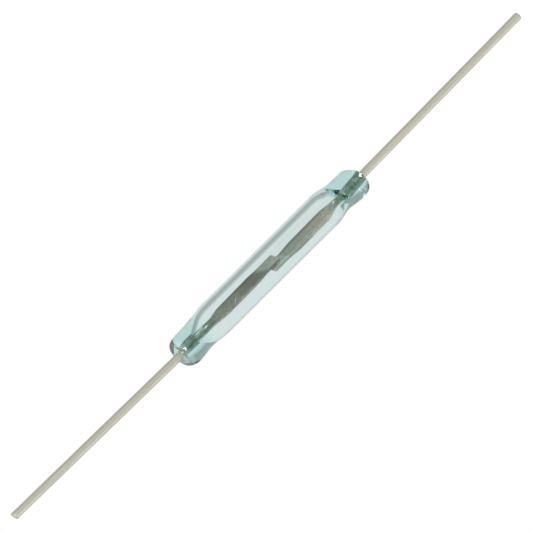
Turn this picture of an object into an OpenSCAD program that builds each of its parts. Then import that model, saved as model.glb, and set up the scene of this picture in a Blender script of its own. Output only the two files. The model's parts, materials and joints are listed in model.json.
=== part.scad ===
// Reed switch: two flat magnetic blades sealed in a glass tube, with a round lead out of each end.
// X runs along the tube. The upper reed comes in from -X, the lower reed from +X.
// The blades lie flat in XY and close along Z.

/* [Glass tube] */
// Length of the glass from rim to rim
glass_length = 19.7; // [18:0.1:24]
// Outer diameter of the straight tube
glass_d = 2.8; // [2.6:0.05:3.6]
// Wall thickness of the straight tube
glass_wall = 0.4; // [0.25:0.01:0.45]
// Length over which the tube narrows and closes, at -X and at +X
end_length = [4.1, 3.8]; // [3.4:0.1:4.5]

/* [Melted ends] */
// Narrowest diameter of the glass behind each end bead, at -X and at +X
neck_d = [2.5, 2.36]; // [2:0.01:2.6]
// Largest diameter of each end bead, at -X and at +X
bead_d = [2.58, 2.48]; // [2:0.01:2.7]
// Distance from the rim to the narrowest place
neck_inset = 2.2; // [1.8:0.05:2.5]
// Distance from the rim to the widest place of the bead
bead_inset = 1.0; // [0.7:0.05:1.2]
// Diameter of the rim round the dimple, at -X and at +X
rim_d = [1.85, 0.8]; // [0.8:0.05:1.9]
// Depth of the dimple where the lead leaves the glass, at -X and at +X
dimple_depth = [0.3, 0.06]; // [0.04:0.01:0.5]
// Distance from the rim to where the cavity closes on the wire, at -X and at +X
seal_length = [1.65, 1.9]; // [1.5:0.05:2.2]
// Length over which the cavity widens from the wire to the bore, at -X and at +X
cavity_length = [2.5, 2.1]; // [1.8:0.1:2.8]

/* [Leads] */
// Length from lead end to lead end
overall_length = 54.9; // [45:0.1:65]
// Diameter of the wire
lead_d = 0.6; // [0.45:0.01:0.7]
// Angle by which each lead rises as it goes outwards
lead_lean = 0.9; // [0.6:0.1:3]
// Length of straight wire outside the glass before the lean begins
lead_straight = 0.4; // [0.2:0.1:2]
// Radius of the bend, on the wire's centre line, from which it leans
bend_r = 2.0; // [1:0.1:4]
// Slant of the sheared lead ends
shear_angle = 12; // [0:1:25]

/* [Blades] */
// Width of the flat blade
blade_w = 1.26; // [1:0.01:1.4]
// Thickness of the flat blade
blade_t = 0.21; // [0.15:0.01:0.3]
// Width of the narrower contact end
tip_w = 1.04; // [0.8:0.01:1.3]
// Length of the narrower contact end
tip_length = 1.2; // [1:0.1:2.5]
// Length over which the contact end widens to the blade
tip_shoulder = 1.5; // [0.5:0.1:2]
// Radius of the corners at the contact end, seen from above
tip_corner = 0.12; // [0.04:0.01:0.2]
// Length of the flat blade from its tip to its root
blade_length = 5.6; // [5.2:0.1:6.2]
// Length over which the round wire is pressed flat
neck_length = 1.7; // [1.2:0.1:1.9]
// Angle at which each blade leans away from the other towards its tip
blade_set = 1.0; // [0.2:0.1:1.5]
// Radius of the blade's long edges
edge_r = 0.06; // [0.02:0.01:0.07]

/* [Contact] */
// Length over which the two blades overlap
overlap = 0.8; // [0.4:0.05:1.2]
// Offset of the overlap towards +X
overlap_shift = 0.36; // [0:0.02:0.5]
// Open gap between the blades
contact_gap = 0.24; // [0.1:0.01:0.3]
// How far the middle of the gap lies below the tube's centre line
blade_drop = 0.16; // [0:0.01:0.2]

/* [Hidden] */

glass_tint = [0.70, 0.88, 0.85, 0.45];
wire_colour = [0.76, 0.74, 0.69];
blade_colour = [0.50, 0.51, 0.48];

half_glass = glass_length / 2;
glass_r = glass_d / 2;
bore_r = glass_r - glass_wall;
lead_r = lead_d / 2;
bead_x = half_glass - bead_inset;
neck_x = half_glass - neck_inset;

bend_x = half_glass + lead_straight;
lead_run = (overall_length / 2 - bend_x - bend_r * sin(lead_lean)) / cos(lead_lean);

// Heights of the blades' middle planes half way along the overlap, and how far each tip reaches
// past the tube's middle
upper_z = (blade_t + contact_gap) / 2 - blade_drop;
lower_z = -(blade_t + contact_gap) / 2 - blade_drop;
upper_reach = overlap / 2 + overlap_shift;
lower_reach = overlap / 2 - overlap_shift;

root_u = blade_length;
neck_u = blade_length + neck_length;

ease_steps = 14;
arc_steps = 10;
round_faces = 96;
corner_steps = 5;
// The first section of the pressed neck stays this much inside the round wire
inside_wire = 0.97;

// Smooth step from 0 to 1
function ease(u) = (1 - cos(180 * min(1, max(0, u)))) / 2;
function blend(a, b, u) = a + (b - a) * ease(u);
function reversed(list) = [for (i = [len(list) - 1:-1:0]) list[i]];

// Outside of one glass end as [radius, distance from the middle], from the straight tube
// over the neck, the bead and the rim, down into the dimple
function end_outline(end) =
    let (
        neck_r = neck_d[end] / 2,
        bead_r = bead_d[end] / 2,
        rim_r = rim_d[end] / 2,
        straight_x = half_glass - end_length[end]
    )
    concat(
        [for (i = [0:ease_steps])
            [blend(glass_r, neck_r, i / ease_steps), straight_x + (neck_x - straight_x) * i / ease_steps]],
        [for (i = [1:ease_steps])
            [blend(neck_r, bead_r, i / ease_steps), neck_x + (bead_x - neck_x) * i / ease_steps]],
        [for (i = [1:arc_steps]) let (a = 90 * i / arc_steps)
            [rim_r + (bead_r - rim_r) * cos(a), bead_x + (half_glass - bead_x) * sin(a)]],
        [for (i = [1:arc_steps]) let (a = 90 * i / arc_steps)
            [rim_r - (rim_r - lead_r) * sin(a), half_glass - dimple_depth[end] * (1 - cos(a))]]
    );

// One end of the cavity, from the wire out to the bore
function cavity_outline(end) = [for (i = [0:ease_steps])
    [lead_r + (bore_r - lead_r) * sin(90 * i / ease_steps),
        half_glass - seal_length[end] - cavity_length[end] * i / ease_steps]];

function flipped(list) = [for (p = list) [p[0], -p[1]]];

module glass_capsule() {
    color(glass_tint)
        rotate([0, 90, 0])
            rotate_extrude($fn = round_faces)
                polygon(concat(
                    reversed(flipped(end_outline(0))), end_outline(1),
                    cavity_outline(1), reversed(flipped(cavity_outline(0)))
                ));
}

// Width, thickness, edge radius and height of a reed at a distance u from its tip
function width_at(u) =
    u < tip_corner ? tip_w - 2 * tip_corner * (1 - sqrt(1 - pow(1 - u / tip_corner, 2)))
    : u < root_u ? blend(tip_w, blade_w, (u - tip_length) / tip_shoulder)
    : blend(blade_w, lead_d * inside_wire, (u - root_u) / neck_length);
function thickness_at(u) = blend(blade_t, lead_d * inside_wire, (u - root_u) / neck_length);
function edge_at(u) = blend(edge_r, lead_r * inside_wire * inside_wire, (u - root_u) / neck_length);
function height_at(u, blade_z, set) =
    blend(blade_z + (overlap / 2 - min(u, root_u)) * tan(set), 0, (u - root_u) / neck_length);

// A rounded rectangle across the reed
function section(u, reach, blade_z, set) =
    let (e = edge_at(u), y = width_at(u) / 2 - e, z = thickness_at(u) / 2 - e)
    [for (quarter = [0:3], i = [0:corner_steps])
        let (
            a = 90 * (quarter + i / corner_steps),
            sy = quarter == 0 || quarter == 3 ? 1 : -1,
            sz = quarter < 2 ? 1 : -1
        )
        [reach - u, sy * y + e * cos(a), height_at(u, blade_z, set) + sz * z + e * sin(a)]];

// Solid through a row of sections
module loft(sections) {
    n = len(sections[0]);
    last = len(sections) - 1;
    polyhedron(
        points = [for (ring = sections) each ring],
        faces = concat(
            [[for (j = [n - 1:-1:0]) j]],
            [for (i = [0:last - 1], j = [0:n - 1])
                [i * n + j, i * n + (j + 1) % n, (i + 1) * n + (j + 1) % n, (i + 1) * n + j]],
            [[for (j = [0:n - 1]) last * n + j]]
        )
    );
}

// Places of the sections along the blade, close together where its outline curves
function blade_places() = concat(
    [for (i = [0:arc_steps - 1]) tip_corner * (1 - cos(90 * i / arc_steps))],
    [for (i = [0:ease_steps]) tip_length + tip_shoulder * i / ease_steps],
    [root_u]
);
function neck_places() = [for (i = [0:ease_steps]) root_u + neck_length * i / ease_steps];

module blade(reach, blade_z, set) {
    loft([for (u = blade_places()) section(u, reach, blade_z, set)]);
}

// The pressed neck, the wire through the seal and the lead outside, with its end sheared at cut_angle
module lead(reach, blade_z, set, cut_angle) {
    neck_end = reach - neck_u;
    union() {
        loft(concat(
            [for (u = neck_places()) section(u, reach, blade_z, set)],
            [[for (p = section(neck_u, reach, blade_z, set)) p - [lead_r, 0, 0]]]
        ));
        translate([neck_end, 0, 0])
            rotate([0, -90, 0])
                cylinder(r = lead_r, h = neck_end + bend_x, $fn = round_faces);
        translate([-bend_x, 0, bend_r])
            rotate([0, 90, 0])
                rotate([-90, 0, 0])
                    rotate_extrude(angle = lead_lean, $fn = round_faces)
                        translate([bend_r, 0])
                            circle(r = lead_r, $fn = round_faces);
        translate([-bend_x - bend_r * sin(lead_lean), 0, bend_r * (1 - cos(lead_lean))])
            rotate([0, -90 + lead_lean, 0])
                difference() {
                    cylinder(r = lead_r, h = lead_run, $fn = round_faces);
                    translate([0, 0, lead_run])
                        rotate([0, cut_angle, 0])
                            translate([-lead_d, -lead_d, 0])
                                cube(2 * lead_d);
                }
    }
}

module upper_lead() color(wire_colour) lead(upper_reach, upper_z, blade_set, -shear_angle);
module upper_blade() color(blade_colour) blade(upper_reach, upper_z, blade_set);
module lower_lead() color(wire_colour) mirror([1, 0, 0]) lead(lower_reach, lower_z, -blade_set, shear_angle);
module lower_blade() color(blade_colour) mirror([1, 0, 0]) blade(lower_reach, lower_z, -blade_set);

glass_capsule();
upper_lead();
upper_blade();
lower_lead();
lower_blade();
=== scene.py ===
import json
import math

import bmesh
import bpy
from mathutils import Matrix, Vector

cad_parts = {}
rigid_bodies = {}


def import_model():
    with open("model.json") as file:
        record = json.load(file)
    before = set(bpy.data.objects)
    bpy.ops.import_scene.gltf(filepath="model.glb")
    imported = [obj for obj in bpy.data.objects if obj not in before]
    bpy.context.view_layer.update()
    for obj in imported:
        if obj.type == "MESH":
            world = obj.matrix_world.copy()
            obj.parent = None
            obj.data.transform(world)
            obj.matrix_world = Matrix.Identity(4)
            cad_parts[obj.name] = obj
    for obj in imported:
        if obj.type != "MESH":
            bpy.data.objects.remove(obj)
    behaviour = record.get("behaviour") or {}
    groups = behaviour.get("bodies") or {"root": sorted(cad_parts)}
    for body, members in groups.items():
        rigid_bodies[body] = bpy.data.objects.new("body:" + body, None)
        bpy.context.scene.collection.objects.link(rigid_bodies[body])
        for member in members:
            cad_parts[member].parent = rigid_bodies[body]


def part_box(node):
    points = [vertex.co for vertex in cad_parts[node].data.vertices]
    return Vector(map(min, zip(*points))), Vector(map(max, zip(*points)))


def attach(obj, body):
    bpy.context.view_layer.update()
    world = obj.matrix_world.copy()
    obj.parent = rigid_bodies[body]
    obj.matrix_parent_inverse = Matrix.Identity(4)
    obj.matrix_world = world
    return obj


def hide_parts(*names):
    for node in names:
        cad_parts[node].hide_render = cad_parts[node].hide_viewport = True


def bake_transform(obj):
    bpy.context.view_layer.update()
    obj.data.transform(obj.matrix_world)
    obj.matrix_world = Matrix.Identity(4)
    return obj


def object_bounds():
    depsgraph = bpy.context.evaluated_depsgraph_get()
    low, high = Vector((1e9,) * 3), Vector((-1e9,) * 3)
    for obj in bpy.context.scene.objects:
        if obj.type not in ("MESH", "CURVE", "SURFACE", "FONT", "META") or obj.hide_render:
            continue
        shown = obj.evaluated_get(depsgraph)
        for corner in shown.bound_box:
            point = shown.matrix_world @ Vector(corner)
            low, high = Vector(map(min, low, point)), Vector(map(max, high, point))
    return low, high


bpy.ops.object.select_all(action="SELECT")
bpy.ops.object.delete()  # what a new file starts with
bpy.context.scene.view_settings.view_transform = "Standard"
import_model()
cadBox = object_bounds()
mm = 0.001  # the pieces' settings are in mm and degrees, the camera's and the studio's in metres
nearEnough = 0.001  # mm by which a place may be missed
mergeDistance = 1e-7  # metres within which points become one
print("frame loaded")

# Editing helpers

def deselectAll():
    bpy.ops.object.select_all(action="DESELECT")


def startEdit(name):
    piece = bpy.context.object
    piece.name = piece.data.name = name
    bpy.ops.object.transform_apply(location=True, rotation=True, scale=True)
    bpy.ops.object.mode_set(mode="EDIT")
    bpy.ops.mesh.select_mode(type="VERT")
    return piece


def pickVerts(piece, test):
    bpy.ops.mesh.select_all(action="DESELECT")
    mesh = bmesh.from_edit_mesh(piece.data)
    for vert in mesh.verts:
        vert.select_set(test(vert))
    mesh.select_flush(True)
    bmesh.update_edit_mesh(piece.data)


def pickEdges(piece, test):
    bpy.ops.mesh.select_all(action="DESELECT")
    mesh = bmesh.from_edit_mesh(piece.data)
    for edge in mesh.edges:
        if test(edge):
            edge.select_set(True)
    bmesh.update_edit_mesh(piece.data)


def extrudeBy(step):
    bpy.ops.mesh.extrude_region_move(TRANSFORM_OT_translate={"value": step})


def finishMesh(piece, smoothAngle):
    bpy.ops.mesh.select_all(action="SELECT")
    bpy.ops.mesh.remove_doubles(threshold=mergeDistance)
    bpy.ops.mesh.normals_make_consistent(inside=False)
    bpy.ops.object.mode_set(mode="OBJECT")
    bpy.ops.object.shade_smooth_by_angle(angle=math.radians(smoothAngle))


# Smooth step from 0 to 1
def ease(u):
    return (1 - math.cos(math.pi * min(1, max(0, u)))) / 2


# Camera

cameraSetup = {
    "turn": 22.5,  # degrees by which the end at -X comes towards the camera
    "dip": 50.0,  # degrees by which the camera comes down from straight above
    "roll": 44.82,  # degrees from the tube's line in the picture to the picture's right
    "distance": 1.5,
    "pictureWidth": 38.07 * mm,  # what the picture takes in at the object
    "aside": 0.152 * mm,
    "above": 0.074 * mm,
    "nearest": 0.1,
    "farthest": 20,
}


def makeCamera(setup):
    turn, dip, roll = (math.radians(setup[key]) for key in ("turn", "dip", "roll"))
    back = Vector((-math.sin(turn), -math.cos(turn) * math.sin(dip), math.cos(turn) * math.cos(dip)))
    along = Vector((math.cos(turn), -math.sin(turn) * math.sin(dip), math.sin(turn) * math.cos(dip)))
    across = Vector((0, -math.cos(dip), -math.sin(dip)))
    right = along * math.cos(roll) + across * math.sin(roll)
    up = along * math.sin(roll) - across * math.cos(roll)
    place = back * setup["distance"] - right * setup["aside"] - up * setup["above"]
    data = bpy.data.cameras.new("pictureCamera")
    data.lens = data.sensor_width * setup["distance"] / setup["pictureWidth"]
    data.clip_start, data.clip_end = setup["nearest"], setup["farthest"]
    camera = bpy.data.objects.new("pictureCamera", data)
    bpy.context.scene.collection.objects.link(camera)
    turned = Matrix((right, up, back)).transposed().to_4x4()
    camera.matrix_world = Matrix.Translation(place) @ turned
    bpy.context.scene.camera = camera
    return along, across, back


# along the tube's line in the picture, down across it, and back to the camera
along, across, back = makeCamera(cameraSetup)
print("camera made")


# Materials

def newMaterial(name):
    material = bpy.data.materials.new(name)
    material.use_nodes = True
    tree = material.node_tree
    return material, tree, tree.nodes["Principled BSDF"]


def addNode(tree, kind, **values):
    node = tree.nodes.new("ShaderNode" + kind)
    for key, value in values.items():
        if hasattr(node, key):
            setattr(node, key, value)
        else:
            node.inputs[key.replace("_", " ")].default_value = value
    return node


# The target takes what another socket puts out, or a plain value
def feed(tree, source, target):
    if isinstance(source, bpy.types.NodeSocket):
        tree.links.new(source, target)
    else:
        target.default_value = source


# The noise's scale is per metre along each axis
def addNoise(tree, place, scale, detail):
    mapping = addNode(tree, "Mapping", Scale=scale)
    noise = addNode(tree, "TexNoise", Scale=1.0, Detail=detail)
    feed(tree, place, mapping.inputs["Vector"])
    feed(tree, mapping.outputs[0], noise.inputs["Vector"])
    return noise.outputs["Fac"]


def addMath(tree, operation, *values):
    node = addNode(tree, "Math", operation=operation)
    for value, socket in zip(values, node.inputs):
        feed(tree, value, socket)
    return node.outputs[0]


# Takes the values between two bounds to those between two others
def addRange(tree, value, given, wanted):
    node = addNode(tree, "MapRange", From_Min=given[0], From_Max=given[1],
                   To_Min=wanted[0], To_Max=wanted[1])
    feed(tree, value, node.inputs["Value"])
    return node.outputs["Result"]


def addRamp(tree, value, stops):
    node = addNode(tree, "ValToRGB")
    elements = node.color_ramp.elements
    for element, (place, colour) in zip(elements, stops[:2]):
        element.position, element.color = place, (*colour, 1)
    for place, colour in stops[2:]:
        elements.new(place).color = (*colour, 1)
    feed(tree, value, node.inputs[0])
    return node.outputs["Color"]


def mixColours(tree, kind, share, first, second):
    node = addNode(tree, "Mix", data_type="RGBA", blend_type=kind)
    colours = node.inputs[6], node.inputs[7]
    for value, socket in zip((share, first, second), (node.inputs["Factor"], *colours)):
        feed(tree, value, socket)
    return node.outputs[2]


def addBump(tree, shader, height, strength, depth):
    bump = addNode(tree, "Bump", Strength=strength, Distance=depth * mm)
    feed(tree, height, bump.inputs["Height"])
    feed(tree, bump.outputs[0], shader.inputs["Normal"])


# Floor and lights

studio = {
    "floorSize": 4.0,
    "floorGap": 0.002 * mm,
    "floorColour": (0.82, 0.82, 0.81, 1),
    "floorRoughness": 0.8,
    "seenThrough": 0.85,  # the floor's level where it is seen through the glass
    "seenFlat": 0.42,  # and where it is seen nearly along its own plane
    "flatWeights": (0.66, 0.86),  # where 0 is straight down and 1 is along the plane
    "mirrored": 0.85,  # and where it is mirrored
    "beneath": 0.5,  # and where it is mirrored straight below, in the part's own shade
    "beneathWeights": (0.06, 0.2),
    "skyColours": ((0.2, (0.43, 0.455, 0.41)), (0.5, (0.5, 0.5, 0.5))),  # against the height
    "lampDistance": 0.9,
    # a lamp's direction is along the tube's line, across it and towards the camera
    "lamps": {
        "keyLamp": {"direction": (-0.20, -0.12, 0.97), "size": 0.24, "strength": 11, "inGlass": True},
        "sideLamp": {"direction": (-0.52, -0.35, 0.78), "size": 0.3, "strength": 1.7, "inGlass": True},
        "backLamp": {"direction": (0.95, -0.1, -0.29), "size": 0.22, "strength": 1.6, "inGlass": False},
    },
}


def makeFloor(setup):
    deselectAll()
    under = cadBox[0].z - setup["floorGap"]
    bpy.ops.mesh.primitive_plane_add(size=setup["floorSize"], location=(0, 0, under))
    floor = bpy.context.object
    floor.name = "floor"
    material, tree, shader = newMaterial("paleFloor")
    shader.inputs["Base Color"].default_value = setup["floorColour"]
    shader.inputs["Roughness"].default_value = setup["floorRoughness"]

    # white in the picture itself, a little darker in mirrors, and behind the glass towards the horizon
    path = addNode(tree, "LightPath").outputs
    seen, mirrored, through = (path[f"Is {kind} Ray"] for kind in ("Camera", "Glossy", "Transmission"))
    slant = addNode(tree, "LayerWeight", Blend=0.5).outputs["Facing"]
    level = addRange(tree, slant, setup["flatWeights"], (setup["seenThrough"], setup["seenFlat"]))
    shade = addRange(tree, slant, setup["beneathWeights"], (setup["beneath"], setup["mirrored"]))
    behind = addMath(tree, "MULTIPLY", through, level)
    reflected = addMath(tree, "MULTIPLY", addMath(tree, "SUBTRACT", mirrored, through), shade)
    brightest = addMath(tree, "MAXIMUM", addMath(tree, "MAXIMUM", behind, reflected), seen)
    glow = addNode(tree, "Emission", Color=(1, 1, 1, 1))
    feed(tree, brightest, glow.inputs["Strength"])
    mix = addNode(tree, "MixShader")
    feed(tree, addMath(tree, "MAXIMUM", seen, mirrored), mix.inputs[0])
    feed(tree, shader.outputs[0], mix.inputs[1])
    feed(tree, glow.outputs[0], mix.inputs[2])
    feed(tree, mix.outputs[0], tree.nodes["Material Output"].inputs["Surface"])
    floor.data.materials.append(material)


# A dull sky round the part, and white where the camera itself sees it
def makeWorld(setup):
    world = bpy.data.worlds.new("studioWorld")
    world.use_nodes = True
    bpy.context.scene.world = world
    tree = world.node_tree
    soft = tree.nodes["Background"]
    parts = addNode(tree, "SeparateXYZ")
    feed(tree, addNode(tree, "TexCoord").outputs["Generated"], parts.inputs[0])
    feed(tree, addRamp(tree, parts.outputs["Z"], setup["skyColours"]), soft.inputs["Color"])
    white = addNode(tree, "Background", Color=(1, 1, 1, 1), Strength=1.0)
    mix = addNode(tree, "MixShader")
    feed(tree, addNode(tree, "LightPath").outputs["Is Camera Ray"], mix.inputs[0])
    feed(tree, soft.outputs[0], mix.inputs[1])
    feed(tree, white.outputs[0], mix.inputs[2])
    feed(tree, mix.outputs[0], tree.nodes["World Output"].inputs["Surface"])


def addLamp(name, setup, distance):
    sideways, down, near = setup["direction"]
    towards = (along * sideways + across * down + back * near).normalized()
    data = bpy.data.lights.new(name, "AREA")
    data.shape = "DISK"
    data.size = setup["size"]
    data.energy = setup["strength"]
    lamp = bpy.data.objects.new(name, data)
    lamp.location = towards * distance
    lamp.rotation_euler = towards.to_track_quat("Z", "Y").to_euler()
    lamp.visible_camera = False
    lamp.visible_transmission = setup["inGlass"]  # whether it glints inside the glass
    bpy.context.scene.collection.objects.link(lamp)


makeFloor(studio)
makeWorld(studio)
for lampName, lampSetup in studio["lamps"].items():
    addLamp(lampName, lampSetup, studio["lampDistance"])
print("floor and lights made")


# The melted ends hang a little across the tube's own line, and each wire takes its own way through them
sag = {
    "glass": 0.118,
    "from": 6.9,
    "to": 9.2,
    # distances from the middle and drops
    "wires": {-1: ((6.5, 0.035), (9.0, 0.035), (9.8, 0.11)), 1: ((7.2, 0.21), (9.9, 0.11))},
}


def glassDrop(place):
    return sag["glass"] * ease((place - sag["from"]) / (sag["to"] - sag["from"]))


def wireDrop(side, place):
    points = sag["wires"][side]
    drop = points[0][1]
    for (here, before), (there, after) in zip(points, points[1:]):
        share = min(1, max(0, (place - here) / (there - here)))
        drop += (after - before) * share
    return drop


# Glass

glassShape = {
    "boreRadius": 1.0,
    "wireRadius": 0.29,  # a little less than the wire's own radius
    "easeSteps": 24,
    "arcSteps": 14,
    "holeSteps": 8,
    "turnSteps": 224,
    "smoothAngle": 60,
    "wallReach": 0.5,  # from the wire outwards to where the glass follows its own sag alone
    "tiltFrom": 9.0,
    "tiltReach": 0.95,
}
leftEnd = {
    "reach": -0.11,  # how far the end goes past the CAD's own
    "straightEnd": 5.65,
    "neckPlace": 7.58,
    "neckRadius": 1.247,
    "beadPlace": 8.76,
    "beadRadius": 1.291,
    "rimRadius": 0.92,
    "dimpleDepth": 0.3,
    "cavityPlace": 8.2,
    "cavityLength": 2.5,
    "tilt": -0.06,  # how far the very end leans across
}
rightEnd = {
    "reach": 0.09,
    "straightEnd": 6.1,
    "neckPlace": 7.72,
    "neckRadius": 1.181,
    "beadPlace": 8.87,
    "beadRadius": 1.237,
    "rimRadius": 0.4,
    "dimpleDepth": 0.06,
    "cavityPlace": 7.95,
    "cavityLength": 2.1,
    "tilt": 0.14,
}


# Outside of one end of the glass as (distance from the middle, radius)
def endOutline(shape, end, outer, half):
    points = []
    steps, arcs = shape["easeSteps"], shape["arcSteps"]
    wire, rim, neck, bead = shape["wireRadius"], end["rimRadius"], end["neckRadius"], end["beadRadius"]
    for i in range(steps + 1):
        u = i / steps
        x = end["straightEnd"] + (end["neckPlace"] - end["straightEnd"]) * u
        points.append((x, outer + (neck - outer) * ease(u)))
    for i in range(1, steps + 1):
        u = i / steps
        x = end["neckPlace"] + (end["beadPlace"] - end["neckPlace"]) * u
        points.append((x, neck + (bead - neck) * ease(u)))
    for i in range(1, arcs + 1):
        a = math.pi / 2 * i / arcs
        x = end["beadPlace"] + (half - end["beadPlace"]) * math.sin(a)
        points.append((x, rim + (bead - rim) * math.cos(a)))
    for i in range(1, arcs + 1):
        a = math.pi / 2 * i / arcs
        x = half - end["dimpleDepth"] * (1 - math.cos(a))
        points.append((x, rim - (rim - wire) * math.sin(a)))
    last = points[-1][0]
    for i in range(1, shape["holeSteps"]):
        points.append((last + (end["cavityPlace"] - last) * i / shape["holeSteps"], wire))
    return points


# One end of the cavity in the same way, from the wire out to the bore
def cavityOutline(shape, end):
    points = []
    for i in range(shape["easeSteps"] + 1):
        u = i / shape["easeSteps"]
        bulge = (shape["boreRadius"] - shape["wireRadius"]) * math.sin(math.pi / 2 * u)
        points.append((end["cavityPlace"] - end["cavityLength"] * u, shape["wireRadius"] + bulge))
    return points


def makeGlass(shape, ends):
    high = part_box("glass_capsule")[1]
    outer, half = high.z / mm, high.x / mm
    left, right = (endOutline(shape, end, outer, half + end["reach"]) for end in ends)
    leftInside, rightInside = (cavityOutline(shape, end) for end in ends)
    route = [(-x, r) for x, r in reversed(left)] + right
    route += rightInside + [(-x, r) for x, r in reversed(leftInside)]

    # the outline is drawn from one point onwards, closed and spun about the tube's line
    deselectAll()
    start = Vector((route[0][0], 0, route[0][1])) * mm
    bpy.ops.mesh.primitive_circle_add(vertices=3, radius=0.1 * mm, location=start)
    piece = startEdit("glassCapsule")
    bpy.ops.mesh.select_all(action="SELECT")
    bpy.ops.mesh.merge(type="CENTER")  # which leaves one point
    for before, after in zip(route, route[1:]):
        extrudeBy(((after[0] - before[0]) * mm, 0, (after[1] - before[1]) * mm))
    pickVerts(piece, lambda vert: len(vert.link_edges) == 1)
    bpy.ops.mesh.edge_face_add()
    bpy.ops.mesh.select_all(action="SELECT")
    bpy.ops.mesh.spin(steps=shape["turnSteps"], angle=math.tau, center=(0, 0, 0), axis=(1, 0, 0))
    finishMesh(piece, shape["smoothAngle"])

    # then the ends sag, round the wires as these do
    for vert in piece.data.vertices:
        place, side = abs(vert.co.x) / mm, 1 if vert.co.x > 0 else -1
        outside = ease((vert.co.yz.length / mm - shape["wireRadius"]) / shape["wallReach"])
        tilt = ends[side > 0]["tilt"] * ease((place - shape["tiltFrom"]) / shape["tiltReach"])
        drop = (glassDrop(place) + tilt) * outside + wireDrop(side, place) * (1 - outside)
        vert.co += across * drop * mm
    return piece


glassLook = {
    "refraction": 1.5,
    "tint": (0.0, 0.63, 0.59, 1),
    "tintDensity": 250,
    # a slight haze where the left end was melted
    "hazePlaces": (-9.5, -9.28),
    "hazeClearness": (0.93, 1.0),
    "waveScale": (120, 900, 900),
    "waveStrength": 0.014,
    "waveDepth": 0.05,
}


def glassMaterial(look):
    material, tree, shader = newMaterial("tealGlass")
    shader.inputs["Base Color"].default_value = (1, 1, 1, 1)
    shader.inputs["Roughness"].default_value = 0.0
    shader.inputs["IOR"].default_value = look["refraction"]
    tint = addNode(tree, "VolumeAbsorption", Color=look["tint"], Density=look["tintDensity"])
    feed(tree, tint.outputs[0], tree.nodes["Material Output"].inputs["Volume"])
    place = addNode(tree, "TexCoord").outputs["Object"]
    parts = addNode(tree, "SeparateXYZ")
    feed(tree, place, parts.inputs[0])
    bounds = [bound * mm for bound in look["hazePlaces"]]
    clear = addRange(tree, parts.outputs["X"], bounds, look["hazeClearness"])
    feed(tree, clear, shader.inputs["Transmission Weight"])
    waves = addNoise(tree, place, look["waveScale"], 2.0)
    addBump(tree, shader, waves, look["waveStrength"], look["waveDepth"])
    return material


glass = makeGlass(glassShape, (leftEnd, rightEnd))
glass.data.materials.append(glassMaterial(glassLook))
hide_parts("glass_capsule")
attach(glass, "capsule")
print("glass made")


# Reeds

reedShape = {
    "thickness": 0.21,
    "wireRadius": 0.3,
    "wireFaces": 48,
    "edgeRadius": 0.06,
    "edgeSteps": 11,
    "tipWidth": 1.02,
    "tipLength": 1.2,
    "tipShoulder": 1.5,
    "shoulderSteps": 10,
    "tipCorner": 0.12,
    "cornerSteps": 8,
    "neckLength": 1.7,
    "neckSteps": 20,
    "sealEnd": {-1: 9.3, 1: 9.85},
    "sealSteps": 6,
    "bendReach": 0.6,
    "bendSteps": 8,
    "widthChange": {-1: -0.04, 1: 0.035},  # the two blades aren't pressed quite alike
    "shift": {-1: 0.035, 1: -0.035},
    "levelWithin": 0.01,
    "sharpAngle": 60,
    "smoothAngle": 40,
}


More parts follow.
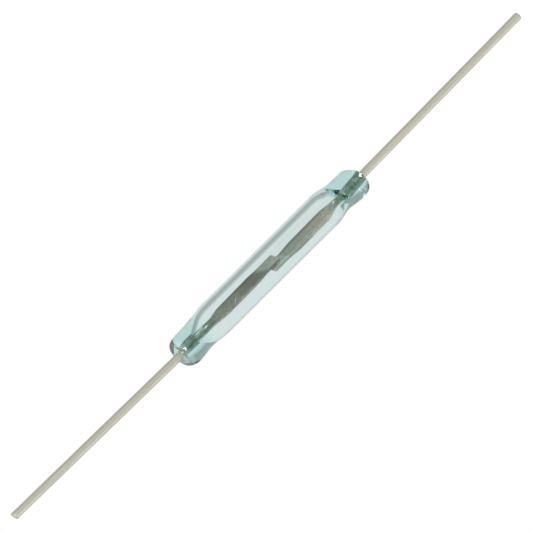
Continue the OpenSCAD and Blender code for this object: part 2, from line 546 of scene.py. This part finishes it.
# The places are a reed's own outward distances, which grow from its tip towards its lead
def makeReed(name, node, side, shape):
    low, high = (Vector(corner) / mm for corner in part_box(node))
    tip, root = (low.x, high.x) if side > 0 else (-high.x, -low.x)
    rootHeight = (high.z if side > 0 else low.z) - side * shape["thickness"] / 2
    rise = high.z - low.z - shape["thickness"]
    length, width = root - tip, high.y - low.y + shape["widthChange"][side]
    middle = Vector((side * (tip + root) / 2, shape["shift"][side], rootHeight))
    deselectAll()
    bpy.ops.mesh.primitive_cube_add(
        size=1, location=middle * mm, scale=Vector((length, width, shape["thickness"])) * mm)
    piece = startEdit(name)

    # cuts across the blade where it narrows towards its tip and where it bends
    steps = shape["shoulderSteps"]
    shoulder = [tip + shape["tipLength"] + shape["tipShoulder"] * i / steps for i in range(steps + 1)]
    bendPart = [root - shape["bendReach"] * i / shape["bendSteps"] for i in range(1, shape["bendSteps"] + 1)]
    for place in shoulder + bendPart:
        bpy.ops.mesh.select_all(action="SELECT")
        bpy.ops.mesh.bisect(plane_co=(side * place * mm, 0, 0), plane_no=(1, 0, 0))
    narrow = shape["tipWidth"] / width
    for i, place in enumerate([tip] + shoulder):
        u = 0 if i == 0 else (i - 1) / steps
        pickVerts(piece, lambda vert: abs(side * vert.co.x / mm - place) < nearEnough)
        bpy.ops.transform.resize(value=(1, narrow + (1 - narrow) * ease(u), 1),
                                 center_override=Vector((side * place, middle.y, rootHeight)) * mm)

    # the tip's corners, then the rounded long edges, then the blade's lean away from the other
    def edgeRise(edge):
        return abs(edge.verts[0].co.z - edge.verts[1].co.z) / mm

    pickEdges(piece, lambda edge: edgeRise(edge) > shape["thickness"] / 2
              and all(abs(side * vert.co.x / mm - tip) < nearEnough for vert in edge.verts))
    bpy.ops.mesh.bevel(offset=shape["tipCorner"] * mm, segments=shape["cornerSteps"], affect="EDGES")
    pickVerts(piece, lambda vert: abs(side * vert.co.x / mm - root) < nearEnough)
    bpy.ops.mesh.delete(type="ONLY_FACE")
    pickEdges(piece, lambda edge: edgeRise(edge) < shape["levelWithin"] and len(edge.link_faces) == 2
              and edge.calc_face_angle() > math.radians(shape["sharpAngle"]))
    bpy.ops.mesh.bevel(offset=shape["edgeRadius"] * mm, segments=shape["edgeSteps"], affect="EDGES")
    bpy.ops.mesh.select_all(action="SELECT")
    bpy.ops.transform.rotate(value=math.atan2(rise, length), orient_axis="Y",
                             center_override=Vector((side * root, 0, rootHeight)) * mm)

    # the round wire through the seal, bridged to the blade's root
    neckEnd = root + shape["neckLength"]
    step = math.pi / shape["wireFaces"]
    bpy.ops.mesh.select_all(action="DESELECT")
    bpy.ops.mesh.primitive_circle_add(
        vertices=shape["wireFaces"], radius=shape["wireRadius"] * mm,
        location=(Vector((side * neckEnd, 0, 0)) + across * wireDrop(side, neckEnd)) * mm,
        rotation=(step, math.pi / 2, 0))
    length = (shape["sealEnd"][side] - neckEnd) / shape["sealSteps"]
    for i in range(shape["sealSteps"]):
        here, there = neckEnd + i * length, neckEnd + (i + 1) * length
        drop = wireDrop(side, there) - wireDrop(side, here)
        extrudeBy((Vector((side * length, 0, 0)) + across * drop) * mm)
    bpy.ops.mesh.edge_face_add()
    pickEdges(piece, lambda edge: len(edge.link_faces) == 1)
    bpy.ops.mesh.select_mode(type="EDGE")
    bpy.ops.mesh.bridge_edge_loops(
        number_cuts=shape["neckSteps"], interpolation="SURFACE", smoothness=1.0)
    bpy.ops.mesh.select_mode(type="VERT")
    finishMesh(piece, shape["smoothAngle"])
    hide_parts(node)
    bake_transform(piece)
    return piece


# colours against the distance from the tip, for each reed
reedTones = {
    -1: ((0.0, (0.66, 0.695, 0.64)), (1.4, (0.60, 0.64, 0.575)), (1.9, (0.33, 0.33, 0.265)),
         (3.0, (0.315, 0.31, 0.25)), (4.2, (0.43, 0.425, 0.345)), (6.2, (0.50, 0.51, 0.42)),
         (7.0, (0.40, 0.42, 0.365)), (7.5, (0.29, 0.37, 0.305)), (8.0, (0.46, 0.57, 0.49)),
         (8.7, (0.50, 0.60, 0.52)), (9.0, (0.40, 0.49, 0.42))),
    1: ((0.0, (0.76, 0.79, 0.73)), (1.3, (0.75, 0.78, 0.71)), (1.45, (0.53, 0.58, 0.505)),
        (3.2, (0.57, 0.595, 0.50)), (4.6, (0.65, 0.61, 0.51)), (5.6, (0.71, 0.64, 0.53)),
        (6.6, (0.66, 0.64, 0.55)), (7.3, (0.46, 0.56, 0.47))),
}
# the same for the cut faces along the edges, painted darker than the blade's faces as shade, by an amount
# that changes along the blade
shadedEdgeTones = {
    -1: ((0.0, (0.26, 0.30, 0.27)), (1.6, (0.28, 0.32, 0.29)), (2.6, (0.42, 0.46, 0.42)),
         (5.0, (0.50, 0.54, 0.50)), (5.6, (0.40, 0.42, 0.36))),
    1: ((0.0, (0.40, 0.49, 0.45)), (1.9, (0.40, 0.49, 0.45)), (2.5, (0.34, 0.38, 0.34)),
        (3.2, (0.42, 0.45, 0.40)), (4.0, (0.66, 0.66, 0.60)), (5.6, (0.60, 0.60, 0.53))),
}
reedLook = {
    "slant": {-1: -0.65, 1: 0.36},  # by how much the bounds between the tones run askew
    "push": 0.5,  # how far they waver
    "rampLength": 10.0,
    "blotchScale": (5200, 4800, 4800),
    "blotchColours": ((0.32, (0.78, 0.79, 0.78)), (0.5, (1.0, 1.0, 1.0)), (0.68, (1.22, 1.20, 1.18))),
    "driftScale": (700, 700, 700),
    "driftColours": ((0.38, (0.98, 1.0, 1.0)), (0.62, (1.03, 1.0, 0.97))),
    # painted light across the width, multiplied in: lighter towards -Y as a painted highlight along that
    # edge, darker towards +Y as painted shade
    "margins": {
        -1: ((-0.6, (1.10, 1.12, 1.12)), (-0.42, (1.06, 1.08, 1.08)), (-0.3, (1.0, 1.0, 1.0)),
             (0.28, (1.0, 1.0, 1.0)), (0.42, (0.80, 0.86, 0.83)), (0.6, (0.72, 0.79, 0.76))),
        1: ((-0.6, (1.16, 1.20, 1.24)), (-0.40, (1.10, 1.14, 1.18)), (-0.28, (1.0, 1.0, 1.0)),
            (0.22, (1.0, 1.0, 1.0)), (0.36, (0.66, 0.71, 0.69)), (0.6, (0.58, 0.63, 0.61))),
    },
    "marginPush": 0.16,
    "marginWidth": 2.0,
    # in the seal the wire carries a mottled, glossy scale, and its underside is painted darker as shade
    "undersideShadeDepths": (0.04, 0.13),
    "sealPlaces": (6.0, 7.4),
    "undersideShadeColour": (0.62, 0.66, 0.64, 1),
    "mottleScale": (3600, 4200, 4200),
    "mottleColours": ((0.36, (0.66, 0.74, 0.70)), (0.64, (1.37, 1.32, 1.32))),
    "glossPlaces": (5.8, 6.8),
    "sealGloss": 0.35,
    "blotchBounds": (0.3, 0.7),
    "roughness": (0.42, 0.62),
    "grainScale": (1200, 9000, 9000),
    "grainStrength": 0.3,
    "grainDepth": 0.01,
    "glintAndScratchColour": (0.93, 0.95, 0.88, 1),
    "glintAndScratchDullness": 0.8,
    # pale dull patches, mostly painted glints and highlights, some pale scratches: middle, half length, half
    # width, angle and strength
    "glintsAndScratches": {
        -1: (((-3.88, -0.26), 0.36, 0.05, 39, 0.8), ((-3.3, 0.1), 0.14, 0.05, -30, 0.5),
             ((-5.84, -0.26), 0.34, 0.035, -12, 0.7)),
        1: (((0.5, -0.43), 0.95, 0.13, 2, 0.9), ((1.42, -0.5), 0.4, 0.06, -28, 0.8),
            ((5.77, 0.09), 0.32, 0.03, 59, 0.6), ((4.95, 0.15), 0.2, 0.025, 75, 0.4),
            ((6.87, -0.2), 0.27, 0.09, 50, 0.7), ((3.6, -0.1), 0.3, 0.02, 20, 0.4)),
    },
    "cutSlopes": {"beside": 0.45, "tip": 0.6},  # how squarely a cut face looks that way
    "cutReach": 5.7,  # how far it may be from the tip
    "tipReach": 2.0,  # and from the tube's middle
}


# How far a pale patch covers the metal: all of it in the middle, none outside. Most patches are painted
# glints and highlights, some are pale scratches
def addGlintAndScratchPatch(tree, place, middle, reach, width, angle, strength):
    mapping = addNode(tree, "Mapping", vector_type="TEXTURE", Scale=(reach * mm, width * mm, 1),
                      Location=(middle[0] * mm, middle[1] * mm, 0), Rotation=(0, 0, math.radians(angle)))
    spread = addNode(tree, "VectorMath", operation="LENGTH")
    feed(tree, place, mapping.inputs["Vector"])
    feed(tree, mapping.outputs[0], spread.inputs[0])
    return addRange(tree, spread.outputs["Value"], (1.0, 0.4), (0.0, strength))


def reedMaterial(name, side, tip, tones, look, paintedLightAndMottle):
    material, tree, shader = newMaterial(name)
    place = addNode(tree, "TexCoord").outputs["Object"]
    parts = addNode(tree, "SeparateXYZ")
    feed(tree, place, parts.inputs[0])
    blotch = addNoise(tree, place, look["blotchScale"], 4.0)
    drift = addNoise(tree, place, look["driftScale"], 2.0)
    grain = addNoise(tree, place, look["grainScale"], 3.0)

    # the distance from the tip, unevenly pushed to and fro
    push, rampLength = look["push"], look["rampLength"]
    outward = addMath(tree, "MULTIPLY_ADD", parts.outputs["X"], side / mm, -tip)
    slant = addMath(tree, "MULTIPLY_ADD", parts.outputs["Y"], look["slant"][side] / mm, outward)
    pushed = addMath(tree, "MULTIPLY_ADD", blotch, push, slant)
    share = addMath(tree, "DIVIDE", pushed, rampLength)
    stops = [((distance + push / 2) / rampLength, colour) for distance, colour in tones]
    base = addRamp(tree, share, stops)
    for noise, colours in ((blotch, look["blotchColours"]), (drift, look["driftColours"])):
        base = mixColours(tree, "MULTIPLY", 1.0, base, addRamp(tree, noise, colours))
    metal = 1.0
    if paintedLightAndMottle:
        # painted highlight along one long edge and painted shade along the other
        push, width = look["marginPush"], look["marginWidth"]
        sideways = addMath(tree, "MULTIPLY_ADD", parts.outputs["Y"], 1 / width / mm, 0.5 - push / 2)
        uneven = addMath(tree, "MULTIPLY_ADD", blotch, push, sideways)
        stops = [(aside / width + 0.5, colour) for aside, colour in look["margins"][side]]
        base = mixColours(tree, "MULTIPLY", 1.0, base, addRamp(tree, uneven, stops))

        # painted shade on the wire's underside within the seal
        beneath = addNode(tree, "VectorMath", operation="DOT_PRODUCT")
        beneath.inputs[1].default_value = across / mm
        feed(tree, place, beneath.inputs[0])
        low = addRange(tree, beneath.outputs["Value"], look["undersideShadeDepths"], (0.0, 1.0))
        sealed = addRange(tree, outward, look["sealPlaces"], (0.0, 1.0))
        shadedUnderside = addMath(tree, "MULTIPLY", low, sealed)
        base = mixColours(tree, "MULTIPLY", shadedUnderside, base, look["undersideShadeColour"])
        mottle = addNoise(tree, place, look["mottleScale"], 3.0)
        base = mixColours(tree, "MULTIPLY", sealed, base, addRamp(tree, mottle, look["mottleColours"]))

        # painted glints and highlights, with some pale scratches, as pale dull patches
        covers = [addGlintAndScratchPatch(tree, place, *mark) for mark in look["glintsAndScratches"][side]]
        covered = 0.0
        for cover in covers:
            base = mixColours(tree, "MIX", cover, base, look["glintAndScratchColour"])
            covered = addMath(tree, "MAXIMUM", covered, cover)
        metal = addMath(tree, "MULTIPLY_ADD", covered, -look["glintAndScratchDullness"], 1.0)
    feed(tree, metal, shader.inputs["Metallic"])
    feed(tree, base, shader.inputs["Base Color"])
    rough = addRange(tree, blotch, look["blotchBounds"], look["roughness"])
    gloss = addRange(tree, outward, look["glossPlaces"], (1.0, look["sealGloss"]))
    feed(tree, addMath(tree, "MULTIPLY", rough, gloss), shader.inputs["Roughness"])
    addBump(tree, shader, grain, look["grainStrength"], look["grainDepth"])
    return material


# Whether a face was cut, along a blade's side or across its tip
def isCut(face, tip, look):
    place = abs(face.center.x) / mm
    beside = abs(face.normal.y) > look["cutSlopes"]["beside"] and place < tip + look["cutReach"]
    atTip = abs(face.normal.x) > look["cutSlopes"]["tip"] and place < look["tipReach"]
    return beside or atTip


# Leads

leadShape = {
    "wireRadius": 0.3,
    "wireFaces": 64,
    "innerEnd": {-1: 9.3, 1: 9.85},
    "innerSteps": 6,
    "straight": 0.4,
    "bendRadius": 2.0,
    "bendSteps": 4,
    "lean": 0.9,
    "runSteps": 24,
    "spare": 0.5,  # what the shear cuts off
    "shear": {-1: 15, 1: -4.5},
    "endShift": {-1: 0.165, 1: -0.005},  # how far each end goes past the CAD's own
    "endRound": 0.07,
    "endSteps": 3,
    "smoothAngle": 40,
    "cutReach": 0.25,  # how far from its end the sheared wire is dull
    "cutSlope": 0.15,
}


def makeLead(name, node, side, shape):
    low, high = (Vector(corner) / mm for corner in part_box(node))
    reach = max(-low.x, high.x)
    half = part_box("glass_capsule")[1].x / mm
    bendPlace, innerEnd = half + shape["straight"], shape["innerEnd"][side]
    lean = math.radians(shape["lean"])
    deselectAll()
    bpy.ops.mesh.primitive_circle_add(
        vertices=shape["wireFaces"], radius=shape["wireRadius"] * mm,
        location=(side * innerEnd * mm, 0, 0), rotation=(0, math.pi / 2, 0), fill_type="NGON")
    piece = startEdit(name)
    bpy.ops.mesh.select_all(action="SELECT")
    for i in range(shape["innerSteps"]):
        extrudeBy((side * (bendPlace - innerEnd) / shape["innerSteps"] * mm, 0, 0))
    bpy.ops.mesh.spin(steps=shape["bendSteps"], angle=-side * lean, axis=(0, 1, 0),
                      center=(side * bendPlace * mm, 0, shape["bendRadius"] * mm))
    run = reach - bendPlace + shape["spare"]
    heading = Vector((side * math.cos(lean), 0, math.sin(lean)))
    for i in range(shape["runSteps"]):
        extrudeBy(heading * (run / shape["runSteps"] * mm))

    # the sheared end
    cut = math.radians(shape["shear"][side])
    wireEnd = reach + shape["endShift"][side] - shape["wireRadius"] * abs(math.sin(cut + side * lean))
    rise = (wireEnd - bendPlace) * math.tan(lean)
    facing = Vector((side * math.cos(cut), 0, -math.sin(cut)))
    bpy.ops.mesh.select_all(action="SELECT")
    bpy.ops.mesh.bisect(plane_co=Vector((side * wireEnd, 0, rise)) * mm, plane_no=facing,
                        use_fill=True, clear_outer=True)
    bpy.ops.mesh.bevel(offset=shape["endRound"] * mm, segments=shape["endSteps"], affect="EDGES")
    finishMesh(piece, shape["smoothAngle"])
    for vert in piece.data.vertices:
        vert.co += across * wireDrop(side, abs(vert.co.x) / mm) * mm
    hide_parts(node)
    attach(piece, "capsule")
    return piece


leadLook = {
    "blotchScale": (350, 1400, 1400),
    "blotchBounds": (0.3, 0.5, 0.7),
    "grainScale": (600, 12000, 12000),
    "grainStrength": 0.15,
    "grainDepth": 0.01,
    # colours and roughness from the dullest blotches to the brightest
    "finishes": {
        "tinnedWire": {
            "tones": ((0.69, 0.67, 0.57), (0.75, 0.73, 0.62), (0.82, 0.80, 0.70)),
            "roughness": (0.48, 0.34),
        },
        "cutWire": {
            "tones": ((0.38, 0.41, 0.34), (0.43, 0.46, 0.38), (0.48, 0.51, 0.43)),
            "roughness": (0.88, 0.78),
        },
    },
}


def leadMaterial(name, look):
    material, tree, shader = newMaterial(name)
    finish, bounds = look["finishes"][name], look["blotchBounds"]
    place = addNode(tree, "TexCoord").outputs["Object"]
    blotch = addNoise(tree, place, look["blotchScale"], 4.0)
    grain = addNoise(tree, place, look["grainScale"], 2.0)
    tone = addRamp(tree, blotch, list(zip(bounds, finish["tones"])))
    feed(tree, tone, shader.inputs["Base Color"])
    shader.inputs["Metallic"].default_value = 1.0
    rough = addRange(tree, blotch, (bounds[0], bounds[-1]), finish["roughness"])
    feed(tree, rough, shader.inputs["Roughness"])
    addBump(tree, shader, grain, look["grainStrength"], look["grainDepth"])
    return material


tinnedWire, cutWire = (leadMaterial(name, leadLook) for name in ("tinnedWire", "cutWire"))
for name, side in (("upper", -1), ("lower", 1)):
    reed = makeReed(name + "Reed", name + "_blade", side, reedShape)
    low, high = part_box(name + "_blade")
    tip = min(side * low.x, side * high.x) / mm
    reed.data.materials.append(reedMaterial(name + "ReedAlloy", side, tip, reedTones[side], reedLook, True))
    # the second material gives the cut faces their painted shade
    reed.data.materials.append(reedMaterial(name + "ReedShadedEdge", side, tip, shadedEdgeTones[side], reedLook, False))
    for face in reed.data.polygons:
        face.material_index = 1 if isCut(face, tip, reedLook) else 0
    lead = makeLead(name + "Lead", name + "_lead", side, leadShape)
    lead.data.materials.append(tinnedWire)
    lead.data.materials.append(cutWire)
    cutFrom = max(abs(vert.co.x) for vert in lead.data.vertices) - leadShape["cutReach"] * mm
    for face in lead.data.polygons:
        atEnd = abs(face.center.x) > cutFrom and face.normal.x * side > leadShape["cutSlope"]
        face.material_index = 1 if atEnd else 0
    print(name, "reed and lead made")
